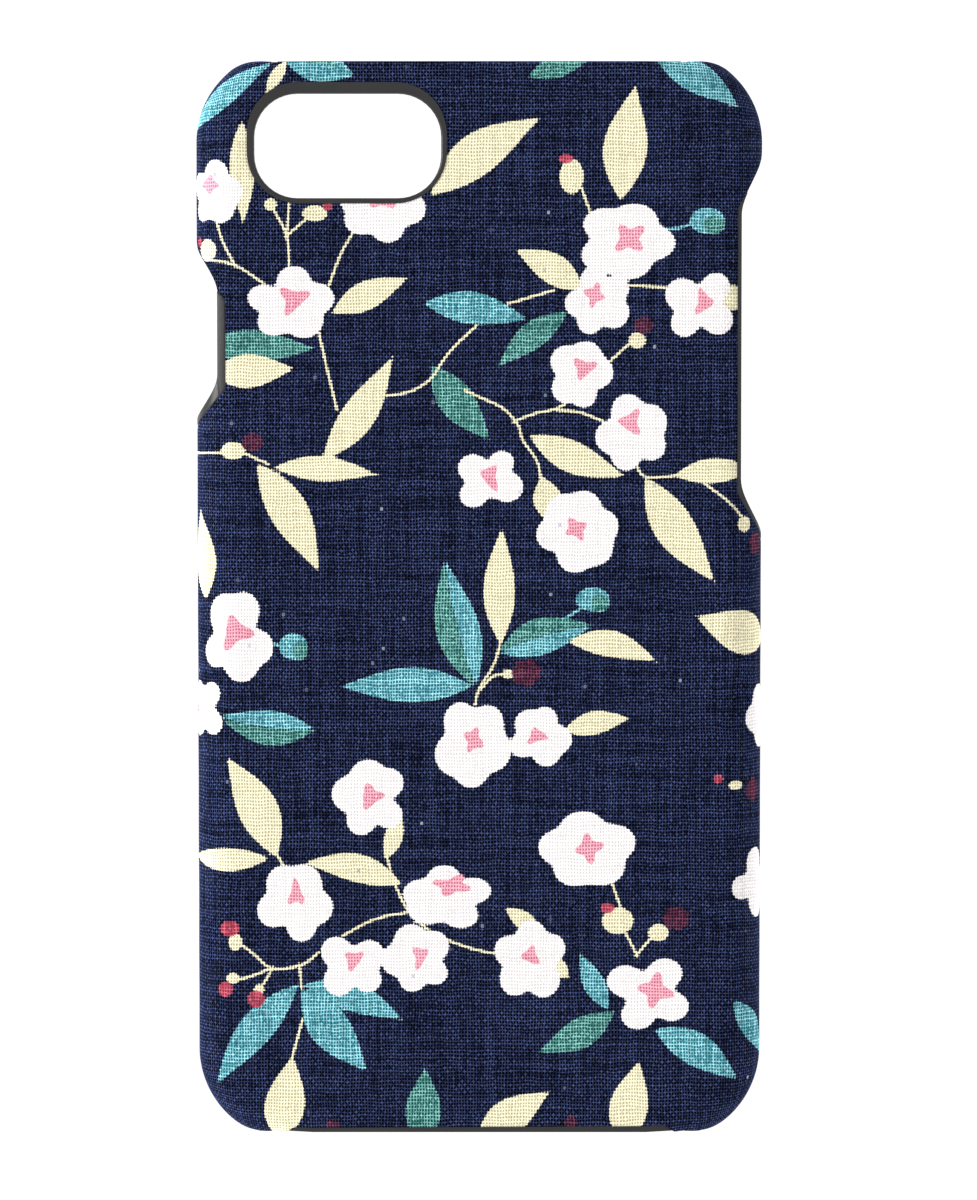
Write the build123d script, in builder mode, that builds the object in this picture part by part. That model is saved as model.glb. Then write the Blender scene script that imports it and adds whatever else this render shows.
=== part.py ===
from build123d import *
import os
from math import acos, cos, sin

# A hard clip-on phone case whose back and sides are covered in printed cotton.
# Three layers, from the inside out: a moulded shell, a film of adhesive and the cloth.
# The case is upright: X goes across it, Z along it, and Y from its back to its open front.
# The origin is the middle of the flat bed that the phone's back lies on.

# ---- driving dimensions, in millimetres ----
bed_width = 67.5  # the space for the phone, with its clearance
bed_length = 134.3
bed_depth = 7.1
bed_corner = 10.0  # corner radius, seen from the back
bed_edge = 3.5  # the phone's rounded long edge, seen in section

shell_wall = 1.3
film_thickness = 0.1
cloth_thickness = 0.35

case_length = 134.6  # over the two straight-cut ends
end_rounding = 6.0  # where a straight end meets a corner
end_gap = 52.0  # open width of each end, between the corner walls
foot_relief = 0.2  # the bottom edge stands this far inside the corner tips
foot_relief_width = 48.6

rim_height = 7.3  # top of the side walls above the bed
lip_reach = 0.9  # how far the rim hooks in over the phone's edge
bare_rim = 1.0  # plain plastic between the cloth and the top of the rim

flat_end_width = 42.0  # the back stays flat to its ends over this width
ramp_run = 6.5  # and falls away towards each corner by this run and rise
ramp_rise = 2.2

camera_width = 23.3
camera_height = 12.95
camera_corner = 5.4
camera_x = -16.4
camera_z = 56.78
cloth_window_width = 24.9
cloth_window_height = 15.05
cloth_window_corner = 6.4
cloth_window_x = -16.5
cloth_window_z = 57.18
camera_round = 0.3  # rounded edge of the plastic around the camera opening

notch_bite = 2.75  # how far a button gap eats into the outline

foot_strip = (0.72, 0.95)  # plain plastic along the bottom edge, at its left and right ends
foot_strip_width = 47.0
foot_flare = 2.0  # the slope at both sides of the strip and of the relief

# ---- worked out from them ----
skin = shell_wall + film_thickness + cloth_thickness
outer_width = bed_width + 2 * skin
outer_edge = bed_edge + skin
edge_x = bed_width / 2 - bed_edge  # centre of the rounded long edge
edge_y = bed_edge
through = 40.0  # longer than anything it cuts
spare = 1.0  # how far a cut runs on past the surface it cuts
all_over = 4 * case_length  # a square that covers the whole case, even when it is tilted

# The button gaps, and how much wider each is cut in the cloth. A negative spare lets the cloth run on to
# the edge of the plastic at that end.
power_gap = dict(side=-1, low=28.4, high=38.3, round_low=6.0, round_high=6.0)
power_margin = dict(drop=1.05, sink=0.45, spare_low=0.6, spare_high=-2.0)
volume_gap = dict(side=1, low=15.3, high=48.2, round_low=8.0, round_high=8.0)
volume_margin = dict(drop=0.5, sink=0.25, spare_low=0.25, spare_high=-0.6)


def pebble(k):
    """The phone's own rounded shape, grown by k all round."""
    with BuildPart() as body:
        with BuildSketch(Plane.XZ.offset(k)):
            RectangleRounded(bed_width + 2 * k, bed_length + 2 * k, bed_corner + k)
        extrude(amount=-(bed_depth + 2 * k))
        back = body.faces().sort_by(Axis.Y)[0]
        front = body.faces().sort_by(Axis.Y)[-1]
        fillet(back.edges() + front.edges(), radius=bed_edge + k)
    return body.part


def blank(k):
    """The case before its openings are cut, k outside the phone: flat right to both ends."""
    foot = flat_end_width / 2 + ramp_run
    top = ramp_rise
    with BuildPart() as body:
        add(pebble(k))
        with BuildSketch():
            with BuildLine():
                Polyline(
                    (-foot, top),
                    (-foot, ramp_rise - k),
                    (-flat_end_width / 2, -k),
                    (flat_end_width / 2, -k),
                    (foot, ramp_rise - k),
                    (foot, top),
                    close=True,
                )
            make_face()
        extrude(amount=case_length / 2, both=True)
    return body.part


def notch(side, low, high, round_low, round_high, drop=0.0, sink=0.0, spare_low=0.0, spare_high=0.0):
    """A button gap: straight between low and high, with a long rounded run up to the rim at each end.

    Its floor is cut square to the rounded edge, where the outline is notch_bite smaller.
    drop, sink, spare_low and spare_high change the gap for the cloth."""
    lean = acos((outer_edge - notch_bite) / outer_edge)
    face_x = edge_x + outer_edge * cos(lean) - drop * sin(lean)
    face_y = edge_y - outer_edge * sin(lean) - drop * cos(lean)
    floor = edge_y - outer_edge * sin(lean) - sink
    bottom = low - spare_low
    top = high + spare_high
    with BuildPart() as cutter:
        with BuildSketch(Plane.YZ):
            with BuildLine():
                Line((floor, bottom), (floor, top))
                CenterArc((floor + round_high, top), round_high, 90, 90)
                CenterArc((floor + round_low, bottom), round_low, 180, 90)
                Polyline(
                    (floor + round_high, top + round_high),
                    (through, top + round_high),
                    (through, bottom - round_low),
                    (floor + round_low, bottom - round_low),
                )
            make_face()
        extrude(amount=side * through)
        with BuildSketch(Plane(origin=(side * face_x, face_y, 0), z_dir=(side * sin(lean), cos(lean), 0))):
            Rectangle(all_over, all_over)
        extrude(amount=through, mode=Mode.INTERSECT)
    return cutter.part


def trapezium(left, right, width):
    """A shallow cut in from the bottom edge, through the whole thickness, flared outwards.

    left and right are its depths at -X and +X."""
    end = case_length / 2
    with BuildPart() as cutter:
        with BuildSketch(Plane.XZ.offset(-through / 2)):
            with BuildLine():
                Polyline(
                    (-width / 2, left - end),
                    (width / 2, right - end),
                    (width / 2 + foot_flare, -end - spare),
                    (-width / 2 - foot_flare, -end - spare),
                    close=True,
                )
            make_face()
        extrude(amount=through)
    return cutter.part


def pill(x, z, width, height, corner):
    """A rounded window through the back."""
    with BuildPart() as cutter:
        with BuildSketch(Plane.XZ.offset(-through / 2)):
            with Locations((x, z)):
                RectangleRounded(width, height, corner)
        extrude(amount=through)
    return cutter.part


# What is left of the case inside its outline: two straight ends, rounded into the corners.
with BuildPart() as outline:
    with BuildSketch(Plane.XZ.offset(skin + spare)) as plan:
        RectangleRounded(outer_width, bed_length + 2 * skin, bed_corner + skin)
        Rectangle(outer_width + 2 * spare, case_length, mode=Mode.INTERSECT)
        ends = plan.vertices().group_by(Axis.Y)[0] + plan.vertices().group_by(Axis.Y)[-1]
        fillet(ends, radius=end_rounding)
    extrude(amount=-(skin + spare + rim_height))
    add(trapezium(foot_relief, foot_relief, foot_relief_width), mode=Mode.SUBTRACT)

# The two open ends, above the back plate and between the corner walls.
with BuildPart() as end_gaps:
    with BuildSketch(Plane.XZ):
        with GridLocations(0, bed_length, 1, 2):
            Rectangle(end_gap, 2 * (bed_corner - lip_reach))
    extrude(amount=-through)

# Everywhere that the cloth is trimmed away.
with BuildPart() as bare:
    add(pill(cloth_window_x, cloth_window_z, cloth_window_width, cloth_window_height, cloth_window_corner))
    for gap, margin in ((power_gap, power_margin), (volume_gap, volume_margin)):
        add(notch(**gap))
        add(notch(**gap, **margin))
    add(trapezium(*foot_strip, foot_strip_width))
    with BuildSketch(Plane.XZ.offset(-(rim_height - bare_rim))):
        Rectangle(all_over, all_over)
    extrude(amount=-through)

# The shell's raised borders, which stand level with the cloth.
with BuildPart() as borders:
    add(blank(skin))
    add(bare.part, mode=Mode.INTERSECT)

with BuildPart() as shell:
    add(blank(shell_wall))
    add(borders.part)
    add(outline.part, mode=Mode.INTERSECT)
    add(pebble(0), mode=Mode.SUBTRACT)
    with BuildSketch(Plane.XZ.offset(-bed_depth / 2)):
        inset = 2 * lip_reach
        RectangleRounded(bed_width - inset, bed_length - inset, bed_corner - lip_reach)
    extrude(amount=-through, mode=Mode.SUBTRACT)
    add(end_gaps.part, mode=Mode.SUBTRACT)
    for gap in (power_gap, volume_gap):
        add(notch(**gap), mode=Mode.SUBTRACT)
    add(pill(camera_x, camera_z, camera_width, camera_height, camera_corner), mode=Mode.SUBTRACT)
    plate_back = shell.faces().filter_by(Axis.Y).sort_by(Axis.Y)[0]
    fillet(plate_back.inner_wires().edges(), radius=camera_round)

with BuildPart() as adhesive_film:
    add(blank(shell_wall + film_thickness))
    add(blank(shell_wall), mode=Mode.SUBTRACT)
    add(bare.part, mode=Mode.SUBTRACT)
    add(outline.part, mode=Mode.INTERSECT)
    add(end_gaps.part, mode=Mode.SUBTRACT)

with BuildPart() as fabric_cover:
    add(blank(skin))
    add(blank(shell_wall + film_thickness), mode=Mode.SUBTRACT)
    add(bare.part, mode=Mode.SUBTRACT)
    add(outline.part, mode=Mode.INTERSECT)
    add(end_gaps.part, mode=Mode.SUBTRACT)

pieces = {"shell": shell, "adhesive_film": adhesive_film, "fabric_cover": fabric_cover}
os.makedirs("parts", exist_ok=True)
for name, piece in pieces.items():
    piece.part.label = name
    export_step(piece.part, f"parts/{name}.step")
    box = piece.part.bounding_box()
    print(name, "solids", len(piece.part.solids()), "volume", round(piece.part.volume, 1), box)
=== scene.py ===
# %% [markdown]
# # A phone case covered in printed cotton
#
# The real thing is a thin moulded shell with one sheet of plain-weave cotton glued over its back and
# sides. The cloth is trimmed back around the camera window, the button gaps, the ends and the front rim,
# where bare dark plastic shows. This lesson builds the cloth as one surface that remembers where each of
# its points lay in the flat sheet, prints a flower pattern on the flat sheet, and weaves the threads in
# the material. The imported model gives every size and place.

from math import acos, cos, pi, radians, sin

import bmesh
import bpy
import numpy as np
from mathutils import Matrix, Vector


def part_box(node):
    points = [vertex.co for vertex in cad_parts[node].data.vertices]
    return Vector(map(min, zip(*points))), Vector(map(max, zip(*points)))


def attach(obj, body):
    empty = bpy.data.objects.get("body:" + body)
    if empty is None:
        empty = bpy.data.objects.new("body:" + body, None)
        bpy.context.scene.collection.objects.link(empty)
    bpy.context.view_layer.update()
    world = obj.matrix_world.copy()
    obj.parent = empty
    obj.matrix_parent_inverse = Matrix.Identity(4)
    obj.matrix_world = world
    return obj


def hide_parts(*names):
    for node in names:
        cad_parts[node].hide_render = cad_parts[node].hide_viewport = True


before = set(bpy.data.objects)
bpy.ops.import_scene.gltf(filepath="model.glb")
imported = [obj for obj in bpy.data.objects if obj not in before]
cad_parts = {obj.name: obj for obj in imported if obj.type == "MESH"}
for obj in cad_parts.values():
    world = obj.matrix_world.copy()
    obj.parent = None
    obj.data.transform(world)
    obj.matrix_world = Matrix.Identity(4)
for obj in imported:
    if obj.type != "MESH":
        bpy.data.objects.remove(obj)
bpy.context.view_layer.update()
MM = 0.001

# %% [markdown]
# ## Driving sizes
#
# The lengths below are millimetres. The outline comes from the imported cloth. The few other values are
# the radii and openings that the shell was moulded with, so that the cloth stops where the plastic border
# starts.

# %% Sizes of the cloth's surface
cloth_low, cloth_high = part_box("fabric_cover")
half_width = cloth_high.x / MM
end_z = cloth_high.z / MM
back_y = cloth_low.y / MM
hem_y = cloth_high.y / MM
roll = 5.25  # radius of the rounded long edge
corner = 6.5  # corner radius of the flat part of the back
extra_length = 33.4  # the flat part reaches this much further along the case than across it
cloth_thickness = 0.35
flat_x = half_width - roll
flat_z = flat_x + extra_length
hem_reach = roll * acos(1 - (hem_y - back_y) / roll)
# Seen across an end, the back runs flat inside the first value and rolls over outside the second.
end_flat = (20.5, 26.5)
end_ease = 0.05  # the cloth stands off the straight-cut ends by this much
end_fillet = 6.0  # where a straight end meets a corner
# That rounding touches the case's own corner from inside, so the centres of the two circles are the
# difference of their radii apart. end_way is the slope of the line through both centres.
mid_rise = end_z - end_fillet - flat_z + corner
mid_run = ((corner + roll - end_fillet) ** 2 - mid_rise**2) ** 0.5
end_mid = (flat_x - corner + mid_run, end_z - end_fillet)
end_way = mid_rise / mid_run
print("flat part", flat_x, flat_z, "the edge takes", round(hem_reach, 2), "mm of cloth")


# %% [markdown]
# ## Laying a flat sheet over the shell
#
# A point of the flat sheet has the coordinates (across, along). Inside the flat part of the back it stays
# where it is. Outside, it goes the same distance around the rounded edge, so the threads keep their
# spacing along the roll. At the two ends the back runs out flat, so the roll fades away there.
#
# A cloth simulation could also lay the sheet down, but glued cloth has no folds to find, and a formula
# puts every thread exactly where the glue holds it.


# %% Where each point of the flat sheet goes
def smoothstep(low, high, value):
    """0 below low, 1 above high, and 3t^2 - 2t^3 between them."""
    t = np.clip((value - low) / (high - low), 0, 1)
    return t * t * (3 - 2 * t)


def past_flat(across, along):
    """How far a point lies outside the flat part, a rounded rectangle, and the way out from it."""
    beyond_x = np.abs(across) - (flat_x - corner)
    beyond_z = np.abs(along) - (flat_z - corner)
    out_x = np.maximum(beyond_x, 0)
    out_z = np.maximum(beyond_z, 0)
    radius = np.hypot(out_x, out_z)
    distance = radius - corner + np.minimum(np.maximum(beyond_x, beyond_z), 0)
    safe = np.maximum(radius, 1e-9)
    return distance, np.sign(across) * out_x / safe, np.sign(along) * out_z / safe


def drape(across, along):
    """Case coordinates of the sheet's outer face.

    With e the distance past the flat part and R the roll's radius, a point goes R sin(e/R) outwards and
    R (1 - cos(e/R)) towards the front. Near the ends both fade to a flat run of e."""
    distance, way_x, way_z = past_flat(across, along)
    e = np.clip(distance, 0, roll * pi)
    fade = smoothstep(*end_flat, np.abs(across))
    outwards = (1 - fade) * e + fade * roll * np.sin(e / roll)
    x = across + way_x * (outwards - e)
    z = along + way_z * (outwards - e)
    y = back_y + fade * roll * (1 - np.cos(e / roll))
    return x, y, z


def unroll(x):
    """The sheet coordinate of a point on the long edge that is seen at x from the back."""
    past = np.clip((np.abs(x) - flat_x) / roll, 0, 1)
    return np.where(np.abs(x) < flat_x, x, np.sign(x) * (flat_x + roll * np.arcsin(past)))


print("the hem of the long edge lands at x", round(float(drape(flat_x + hem_reach, 0.0)[0]), 2))

# %% [markdown]
# ## Where the cloth is trimmed
#
# The trim is a signed distance: positive on the cloth, zero along the scissors' line. Each opening gives
# one such distance, and the smallest of them is the cloth that is left. Cutting the finished mesh with
# Booleans would work too, but it would leave ragged triangles along every cut.
#
# The walls at the four corners end in straight-cut faces. The maker pulls the cloth over those faces, so
# whatever would stand past them is moved back onto them.

# %% The openings, as the shell has them
window = dict(x=-16.5, z=57.18, width=24.9, height=15.05, radius=6.4)
foot_left, foot_right = 0.72, 0.95  # the depth of the bare strip at its two ends
foot_width = 47.0
foot_slope = 2.0 / 1.8  # how far each side of the strip flares out for each millimetre down
notch_bite = 2.75  # how far a button gap eats into the outline
notch_lean = acos((roll - notch_bite) / roll)
# Each button gap twice: as the shell has it, then as the cloth is trimmed back for it.
gaps = [
    dict(side=-1, low=28.4, high=38.3, round_low=6.0, round_high=6.0, drop=0, sink=0),
    dict(side=-1, low=27.8, high=36.3, round_low=6.0, round_high=6.0, drop=1.05, sink=0.45),
    dict(side=1, low=15.3, high=48.2, round_low=8.0, round_high=8.0, drop=0, sink=0),
    dict(side=1, low=15.05, high=47.6, round_low=8.0, round_high=8.0, drop=0.5, sink=0.25),
]
wall_start = 26.1  # the corner walls begin here, and the cloth is pulled over their straight-cut ends


def window_edge(x, z):
    """Distance outside a rounded rectangle."""
    dx = np.abs(x - window["x"]) - window["width"] / 2 + window["radius"]
    dz = np.abs(z - window["z"]) - window["height"] / 2 + window["radius"]
    outside = np.hypot(np.maximum(dx, 0), np.maximum(dz, 0))
    return outside + np.minimum(np.maximum(dx, dz), 0) - window["radius"]


def notch_edge(x, y, z, side, low, high, round_low, round_high, drop, sink):
    """Distance outside a button gap: a slot with round ends in the side view, cut by a slanted plane.

    drop moves the plane inwards, and sink moves the floor of the slot towards the back."""
    edge_y = back_y + roll
    floor_y = edge_y - roll * sin(notch_lean)
    face_x = flat_x + roll * cos(notch_lean) - drop * sin(notch_lean)
    face_y = floor_y - drop * cos(notch_lean)
    over = (side * x - face_x) * sin(notch_lean) + (y - face_y) * cos(notch_lean)
    radius = np.where(z > (low + high) / 2, round_high, round_low)
    u = np.maximum(np.maximum(z - high, low - z), 0)
    v = np.maximum(floor_y - sink + radius - y, 0)
    inside = np.minimum(radius - np.hypot(u, v), over)
    return np.where(side * x > 0, -inside, end_z)


def end_edge(x, z):
    """Distance inside the straight ends, whose corners are rounded off with a circle.

    Also gives the nearest way back: the distance's slope in x and in z, for the signs of x and z."""
    u = np.abs(x) - end_mid[0]
    v = np.abs(z) - end_mid[1]
    on_circle = (u > 0) & (v > u * end_way)
    far = np.maximum(np.hypot(u, v), 1e-9)
    inside = np.where(on_circle, end_fillet - far, end_z - np.abs(z))
    return inside, np.where(on_circle, -u / far, 0), np.where(on_circle, -v / far, -1)


def wrapped(across, along):
    """The draped sheet, with what would pass the straight ends pulled back onto them."""
    x, y, z = drape(across, along)
    inside, back_x, back_z = end_edge(x, z)
    past = np.maximum(-inside - end_ease, 0)
    return x + np.sign(x) * back_x * past, y, z + np.sign(z) * back_z * past


def trim(across, along):
    """The smallest of the distances to the hem, the ends, the bare foot, the window and the button gaps."""
    x, y, z = drape(across, along)
    hem = hem_reach - past_flat(across, along)[0]
    ends = np.maximum(end_edge(x, z)[0], np.abs(x) - wall_start)
    foot_depth = foot_left + (foot_right - foot_left) * (x / foot_width + 0.5)
    foot_line = z + end_z - foot_depth
    foot = np.maximum(foot_line, (np.abs(x) - foot_width / 2 + foot_slope * foot_line) * cos(pi / 4))
    notches = [notch_edge(x, y, z, **gap) for gap in gaps]
    return np.minimum.reduce([hem, ends, foot, window_edge(x, z), *notches])


print("openings: a window, a bare foot and", len(gaps) // 2, "button gaps")

# %% [markdown]
# ## A grid that ends exactly on the scissors' line
#
# The sheet is a regular grid. A cell is kept when one of its corners lies well inside the cloth, and the
# corners that don't are moved along the slope of the trim distance until it is zero. So every edge of the
# mesh follows its curve smoothly, with no steps.

# %% Cutting the grid
grid_step = 0.48
keep_depth = 0.3 * grid_step  # a corner this far inside the cut is well inside
least_slope = 0.3  # keeps the steps short where the trim distance is nearly level
tiny = 0.01  # the small move that a slope is measured over
reach_x = flat_x + hem_reach
reach_z = flat_z + hem_reach


def pull_to_edge(across, along, turns=10):
    """Newton's steps: distance times slope, over slope squared, at most half a grid step each time."""
    for _ in range(turns):
        t = trim(across, along)
        slope_x = (trim(across + tiny, along) - trim(across - tiny, along)) / (2 * tiny)
        slope_z = (trim(across, along + tiny) - trim(across, along - tiny)) / (2 * tiny)
        size = np.maximum(np.hypot(slope_x, slope_z), least_slope)
        step = np.clip(t / size, -grid_step / 2, grid_step / 2)
        across = across - step * slope_x / size
        along = along - step * slope_z / size
    return across, along


def cut_sheet():
    """The kept corners of the grid (across, along) and the kept cells as rows of four corner numbers."""
    columns = np.linspace(-reach_x, reach_x, int(2 * reach_x / grid_step) + 2)
    rows = np.linspace(-reach_z, reach_z, int(2 * reach_z / grid_step) + 2)
    across, along = [a.ravel() for a in np.meshgrid(columns, rows)]
    number = np.arange(across.size).reshape(rows.size, columns.size)
    corners = [number[:-1, :-1], number[:-1, 1:], number[1:, 1:], number[1:, :-1]]
    cells = np.stack(corners, -1).reshape(-1, 4)
    inside = trim(across, along) > keep_depth
    cells = cells[inside[cells].any(1)]
    used, cells = np.unique(cells, return_inverse=True)
    across, along, inside = across[used], along[used], inside[used]
    across[~inside], along[~inside] = pull_to_edge(across[~inside], along[~inside])
    return across, along, cells.reshape(-1, 4)


sheet_across, sheet_along, sheet_cells = cut_sheet()

# %% [markdown]
# ## The printed pattern
#
# Small blossoms on thin stems, with pointed leaves, buds and berries, on a dark navy ground. Every motif
# is a formula that gives a signed distance in millimetres on the flat sheet, positive inside. All the
# motifs of one ink are joined by taking the largest distance, and each ink becomes one attribute of the
# cloth. The material then turns each distance into a crisp edge. An attribute needs no picture, and its
# edge stays sharp from close by.


# %% Shapes of the motifs
leaf_fullness = 1.05  # a leaf's widest half-width, over the one it is given
leaf_belly = 0.85  # below 1, a leaf is widest nearer its base
leaf_point = 1.15  # above 1, both ends of a leaf are drawn out
petal_reach = 1.04  # how far the petals reach, over the blossom's half size
blossom_core = 0.5  # the disc that joins the petals, over the blossom's half size
petal_join = 12  # how sharply the petals meet
far_out = -6  # a distance past which a petal no longer counts


def leaf(base_x, base_z, tip_x, tip_z, half, bend):
    """A pointed leaf from base to tip.

    With s from 0 to 1 along the leaf, its half-width is fullness * half * sin(pi s^belly)^point, and its
    midline is bent sideways by bend * 4 s (1 - s). Returns the distance inside, and the distance left of
    the midline."""
    x0, x1 = unroll(np.array([base_x, tip_x], float))
    length = np.hypot(x1 - x0, tip_z - base_z)
    ux, uz = (x1 - x0) / length, (tip_z - base_z) / length
    dx, dz = sheet_across - x0, sheet_along - base_z
    s = (dx * ux + dz * uz) / length
    inner = np.clip(s, 0, 1)
    side = dz * ux - dx * uz - bend * 4 * s * (1 - s)
    width = leaf_fullness * half * np.sin(pi * inner**leaf_belly) ** leaf_point
    past_end = np.maximum(s - 1, -s) * length
    inside = np.where(past_end > 0, -np.hypot(past_end, side), width - np.abs(side))
    return inside, side


def lobed(rng, angle, lobes, core, rise, spread):
    """The edge radius of a hand-drawn lobed shape: a round core plus one soft bump for each lobe.

    A bump is rise * exp(-(turn / spread)^2), where turn is the angle from the lobe's middle. Each lobe's
    place and rise are a little off, as a brush leaves them."""
    middles = rng.uniform(0, 2 * pi) + 2 * pi * (np.arange(lobes) + rng.uniform(-0.13, 0.13, lobes)) / lobes
    rises = rise * rng.uniform(0.72, 1.25, lobes)
    turn = (angle[:, None] - middles + pi) % (2 * pi) - pi
    return core + (rises * np.exp(-((turn / spread) ** 2))).sum(1)


def blossom(rng, x, z, radius_x, radius_z, petals):
    """A blossom: round petals of uneven size that run into each other.

    Each petal is a circle a little under half the blossom's size, set a little over half way out. The
    circles' distances d are joined softly, as log(sum(exp(k d))) / k."""
    dx = (sheet_across - unroll(np.array(x, float))) / radius_x
    dz = (sheet_along - z) / radius_z
    ways = rng.uniform(0, 2 * pi) + 2 * pi * (np.arange(petals) + rng.uniform(-0.16, 0.16, petals)) / petals
    sizes = rng.uniform(0.35, 0.5, petals)
    outs = petal_reach - sizes
    from_x = dx[:, None] - outs * np.cos(ways)
    from_z = dz[:, None] - outs * np.sin(ways)
    petal = np.exp(petal_join * np.maximum(sizes - np.hypot(from_x, from_z), far_out))
    core = np.exp(petal_join * np.maximum(blossom_core - np.hypot(dx, dz), far_out))
    return (np.log(petal.sum(1) + core) / petal_join) * (radius_x * radius_z) ** 0.5


def berry(rng, x, z, radius_x, radius_z):
    """A berry with a knobbly edge of seven bumps."""
    dx = (sheet_across - unroll(np.array(x, float))) / radius_x
    dz = (sheet_along - z) / radius_z
    edge = lobed(rng, np.arctan2(dz, dx), lobes=7, core=0.85, rise=0.22, spread=0.25)
    return (edge - np.hypot(dx, dz)) * (radius_x * radius_z) ** 0.5


def heart(rng, x, z, width, height):
    """A blossom's small pink heart: three or four blunt points around a small core."""
    dx = (sheet_across - unroll(np.array(x, float))) / (width / 2)
    dz = (sheet_along - z) / (height / 2)
    points = rng.integers(3, 5)
    edge = lobed(rng, np.arctan2(dz, dx), lobes=points, core=0.56, rise=0.55, spread=0.4)
    return (edge - np.hypot(dx, dz)) * (width * height) ** 0.5 / 2


def spot(x, z, radius_x, radius_z):
    """An oval dot: 1 less the distance from its middle, in half sizes."""
    x = unroll(np.array(x, float))
    far = np.hypot((sheet_across - x) / radius_x, (sheet_along - z) / radius_z)
    return (1 - far) * (radius_x * radius_z) ** 0.5


# %% [markdown]
# ## Where the motifs sit
#
# Every row below is one motif, in millimetres from the middle of the back. x is where the motif is seen
# from straight behind, and `unroll` finds the place on the flat sheet that lands there. A scatter by
# chance would fill the cloth as evenly, but stems have to meet their blossoms and leaves, and a list
# shows how they do.

# %% Blossoms: x, z, half sizes, petals, then the heart's place and size
blossoms = [
    (-33.4, 51, 4, 4, 5, -33.7, 52, 3.4, 2.6),
    (-12.1, 49.5, 5.3, 4.6, 6, -12, 50.2, 3.8, 3),
    (-23.5, 37.2, 5.3, 4.5, 5, -23.1, 37.7, 3.8, 3.8),
    (18.1, 45, 6.1, 4.6, 5, 18.6, 45.3, 4, 4),
    (14.9, 37.5, 4.1, 4.2, 5, 14.4, 38.2, 2.6, 2.9),
    (27.6, 37, 4.6, 4.5, 4, 28, 37.4, 2.4, 4),
    (12.5, 28.4, 4.1, 4.1, 5, 13.1, 29.1, 3.3, 3),
    (19.1, 21.1, 4.5, 4.7, 5, 18.8, 22.3, 3.2, 3.5),
    (1.2, 15.1, 4.3, 4, 4, 1.3, 15.6, 2.5, 4),
    (12.3, 8.7, 5, 5, 6, 12.1, 9.1, 3, 3.2),
    (-30.5, -4.5, 4.7, 5.6, 5, -30.6, -3.8, 4.2, 4.6),
    (-34.6, -13.7, 3.6, 3.8, 4, -36.5, -13.7, 2, 2),
    (-0.9, -17.9, 4.8, 5.4, 5, -0.7, -17.5, 2.6, 3.6),
    (7.6, -17.1, 3.9, 3.7, 5, 7.3, -16.9, 3, 2.4),
    (-13.7, -24.8, 4.7, 4.7, 5, -13.6, -24.6, 3.7, 3.3),
    (35.4, -14.6, 3.7, 4, 5, 37, -14, 2, 2.4),
    (13.6, -31.3, 6, 4.7, 5, 13.7, -31.1, 3.5, 3.8),
    (34.8, -35.7, 3.9, 4.3, 4, 36.5, -35.7, 2, 2.4),
    (-23.2, -38, 4.7, 4.9, 5, -23, -36.9, 2.4, 3.5),
    (-4, -37.4, 5.5, 4, 5, -3.5, -35.9, 5, 2.8),
    (-16.1, -45.9, 4.3, 4.3, 4, -15.8, -45.3, 2.7, 3),
    (-7.8, -45, 4.4, 4.2, 5, -7.4, -44.7, 2.4, 3.3),
    (6.4, -45.4, 4.6, 5, 5, 6.4, -44.7, 2.5, 3),
    (21.3, -49.4, 5.5, 4.7, 4, 22.1, -49.1, 4.3, 4.2),
]
print(len(blossoms), "blossoms")

# %% Leaves: base, tip, half-width and sideways bend
cream_leaves = [
    (-24, 67.8, -26.7, 62.9, 0.8, 0),
    (-29.6, 60, -29.4, 46.8, 1.5, 0),
    (-6.1, 50.6, 7.8, 60.3, 2.5, 0.9),
    (17.6, 50, 19.5, 64.4, 2.6, 0.3),
    (13, 38.8, 4.3, 44, 1.8, -0.4),
    (-18.4, 36, -8.8, 40.4, 1.7, 0.2),
    (-33.5, 28.5, -22.9, 29.1, 2, 0),
    (-19.6, 17.6, -10.7, 30.8, 2, -0.6),
    (-25.7, 16.7, -12.5, 15.8, 1.5, 0.3),
    (-27.8, 17.3, -20, 3.4, 2.3, 0.5),
    (-34.3, 0, -35, 11.5, 2.2, 0),
    (6.2, 20.8, 18.5, 15.5, 1.9, -0.4),
    (7.8, 15.6, 9.5, 9, 1.7, 0),
    (24.3, 15.7, 34.5, 16.4, 1.5, 0.3),
    (20.7, 15.6, 29.6, 2.2, 2.4, -0.5),
    (2.7, -5.5, 2.9, 9.5, 1.9, 0.3),
    (11, -5.1, 22.5, -7.8, 1.6, 1.0),
    (37, -5, 27, -1.9, 2.6, 0.4),
    (-25.4, -32.3, -31.8, -19.5, 2.4, -0.6),
    (-26.3, -32.4, -37, -32.4, 1.4, 0.2),
    (-11.8, -32.6, -9.9, -26, 1.1, -0.2),
    (-9.6, -35.8, -22.4, -33, 1.7, -0.9),
    (10.5, -16.4, 19.1, -14.7, 1.4, 0.3),
    (7.6, -41.5, 3.1, -38.5, 1.1, 0.1),
    (-25.7, -69, -23.5, -57.2, 2.4, -0.2),
    (18, -69, 20.2, -57.9, 2.3, 0.2),
    (-0.5, -69, 9, -61.9, 2.2, 0.5),
    (29.4, 38.2, 34, 37.6, 1.5, 0),
    (8.6, -45.2, 11.4, -47.6, 1.1, 0),
]
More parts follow.
